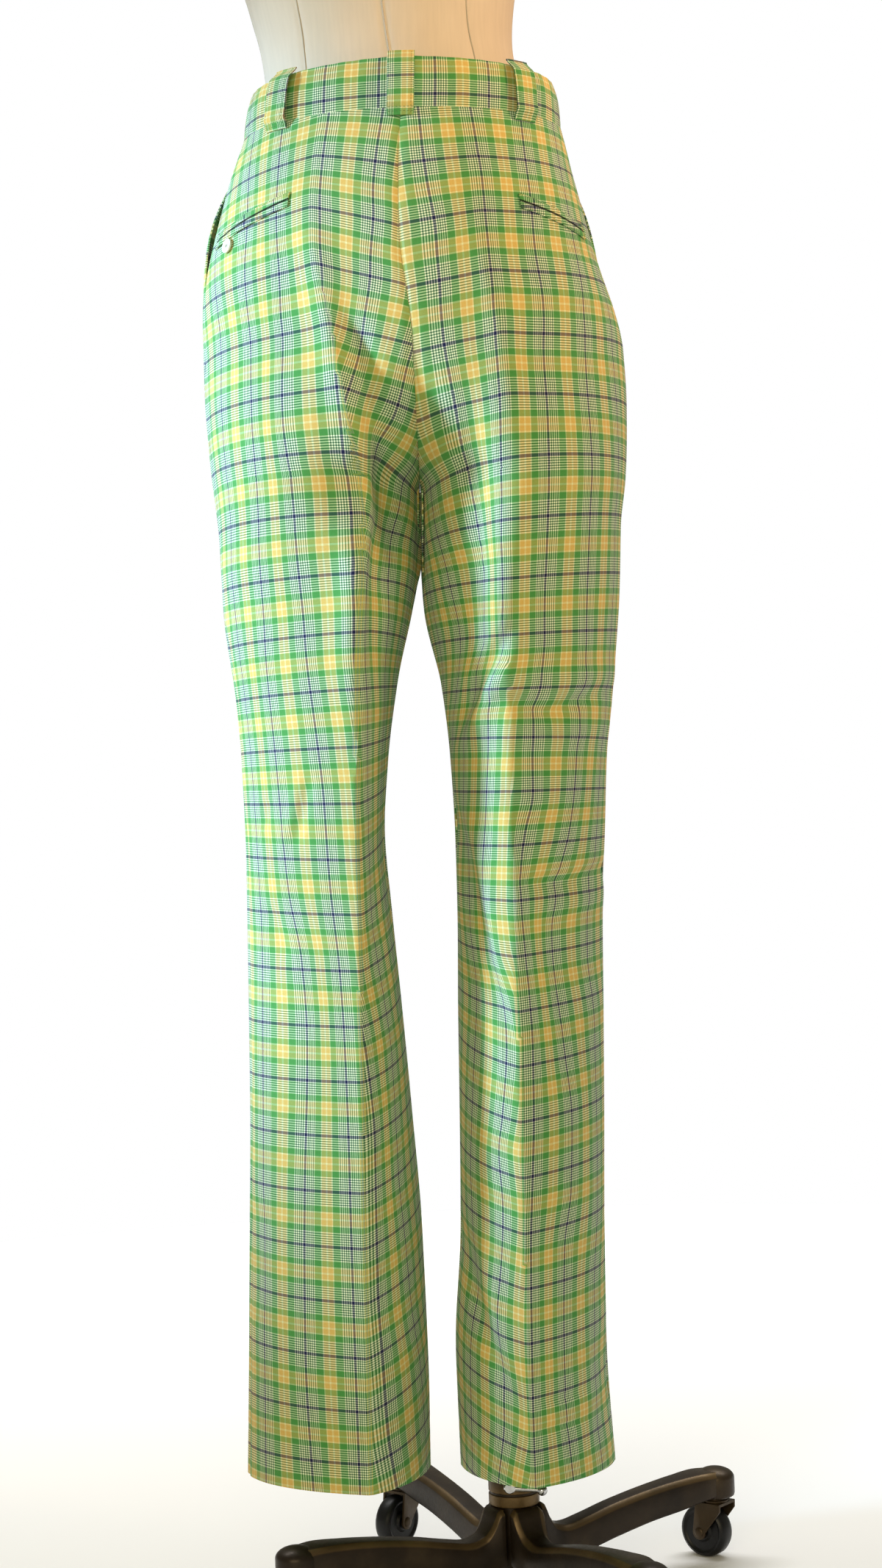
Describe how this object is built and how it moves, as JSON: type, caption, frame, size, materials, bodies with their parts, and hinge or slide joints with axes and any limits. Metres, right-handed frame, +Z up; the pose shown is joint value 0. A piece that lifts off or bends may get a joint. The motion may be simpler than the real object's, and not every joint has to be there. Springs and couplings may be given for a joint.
{
  "type": "tailored trousers on a dress form",
  "caption": "Plaid tailored trousers with belt loops and jetted back pockets, standing open on a limbless dress form with a wheeled stand.",
  "frame": {"origin": "on the floor, under the middle of the whole part's footprint box", "axes": "+Z up; the back of the trousers faces -Y and the wearer's right leg is on +X"},
  "size_m": [0.4017, 0.3756, 1.695],
  "materials": {
    "plaid": "matte",
    "shell": "gloss",
    "linen": "matte",
    "wood": "satin",
    "bronze": "satin",
    "chrome": "polished",
    "rubber": "matte"
  },
  "bodies": {
    "stand": {"stand_hub": "bronze", "stand_arm_1": "bronze", "stand_arm_2": "bronze", "stand_arm_3": "bronze", "stand_arm_4": "bronze"},
    "pole": {"pole": "bronze"},
    "form": {"back_panel_left": "plaid", "back_panel_right": "plaid", "front_panel_left": "plaid", "front_panel_right": "plaid", "front_pocket_facing_left": "plaid", "front_pocket_facing_right": "plaid", "waistband_left": "plaid", "waistband_right": "plaid", "belt_loop_1": "plaid", "belt_loop_2": "plaid", "belt_loop_3": "plaid", "belt_loop_4": "plaid", "belt_loop_5": "plaid", "belt_loop_6": "plaid", "belt_loop_7": "plaid", "back_pocket_left_upper_jet": "plaid", "back_pocket_left_lower_jet": "plaid", "back_pocket_right_upper_jet": "plaid", "back_pocket_right_lower_jet": "plaid", "fly_lap": "plaid", "back_pocket_button": "shell", "waistband_button": "shell", "form_torso": "linen", "neck_cap": "wood", "pole_flange": "bronze"},
    "clamp": {"clamp_lever": "chrome"},
    "caster_1": {"caster_fork_1": "bronze"},
    "wheel_1": {"caster_wheel_1": "rubber"},
    "caster_2": {"caster_fork_2": "bronze"},
    "wheel_2": {"caster_wheel_2": "rubber"},
    "caster_3": {"caster_fork_3": "bronze"},
    "wheel_3": {"caster_wheel_3": "rubber"},
    "caster_4": {"caster_fork_4": "bronze"},
    "wheel_4": {"caster_wheel_4": "rubber"}
  },
  "joints": [
    {"name": "form_lift", "type": "slide", "parent": "stand", "child": "pole", "axis": [0, 0, 1], "range_m": [0, 0.05]},
    {"name": "form_turn", "type": "hinge", "parent": "pole", "child": "form", "pos_m": [0.013, 0, 0.93], "axis": [0, 0, 1], "continuous": true},
    {"name": "clamp_turn", "type": "hinge", "parent": "stand", "child": "clamp", "pos_m": [0.009, -0.03, 0.098], "axis": [0, -1, 0], "range_deg": [0, 60]},
    {"name": "caster_1_swivel", "type": "hinge", "parent": "stand", "child": "caster_1", "pos_m": [0.18421, 0.09334, 0.0517], "axis": [0, 0, 1], "continuous": true},
    {"name": "wheel_1_roll", "type": "hinge", "parent": "caster_1", "child": "wheel_1", "pos_m": [0.17648, 0.09969, 0.022], "axis": [-0.6347, -0.7727, 0], "continuous": true},
    {"name": "caster_2_swivel", "type": "hinge", "parent": "stand", "child": "caster_2", "pos_m": [-0.08034, 0.17121, 0.0517], "axis": [0, 0, 1], "continuous": true},
    {"name": "wheel_2_roll", "type": "hinge", "parent": "caster_2", "child": "wheel_2", "pos_m": [-0.08669, 0.16348, 0.022], "axis": [0.7727, -0.6347, 0], "continuous": true},
    {"name": "caster_3_swivel", "type": "hinge", "parent": "stand", "child": "caster_3", "pos_m": [-0.15821, -0.09334, 0.0517], "axis": [0, 0, 1], "continuous": true},
    {"name": "wheel_3_roll", "type": "hinge", "parent": "caster_3", "child": "wheel_3", "pos_m": [-0.15048, -0.09969, 0.022], "axis": [0.6347, 0.7727, 0], "continuous": true},
    {"name": "caster_4_swivel", "type": "hinge", "parent": "stand", "child": "caster_4", "pos_m": [0.10634, -0.17121, 0.0517], "axis": [0, 0, 1], "continuous": true},
    {"name": "wheel_4_roll", "type": "hinge", "parent": "caster_4", "child": "wheel_4", "pos_m": [0.11269, -0.16348, 0.022], "axis": [-0.7727, 0.6347, 0], "continuous": true}
  ]
}
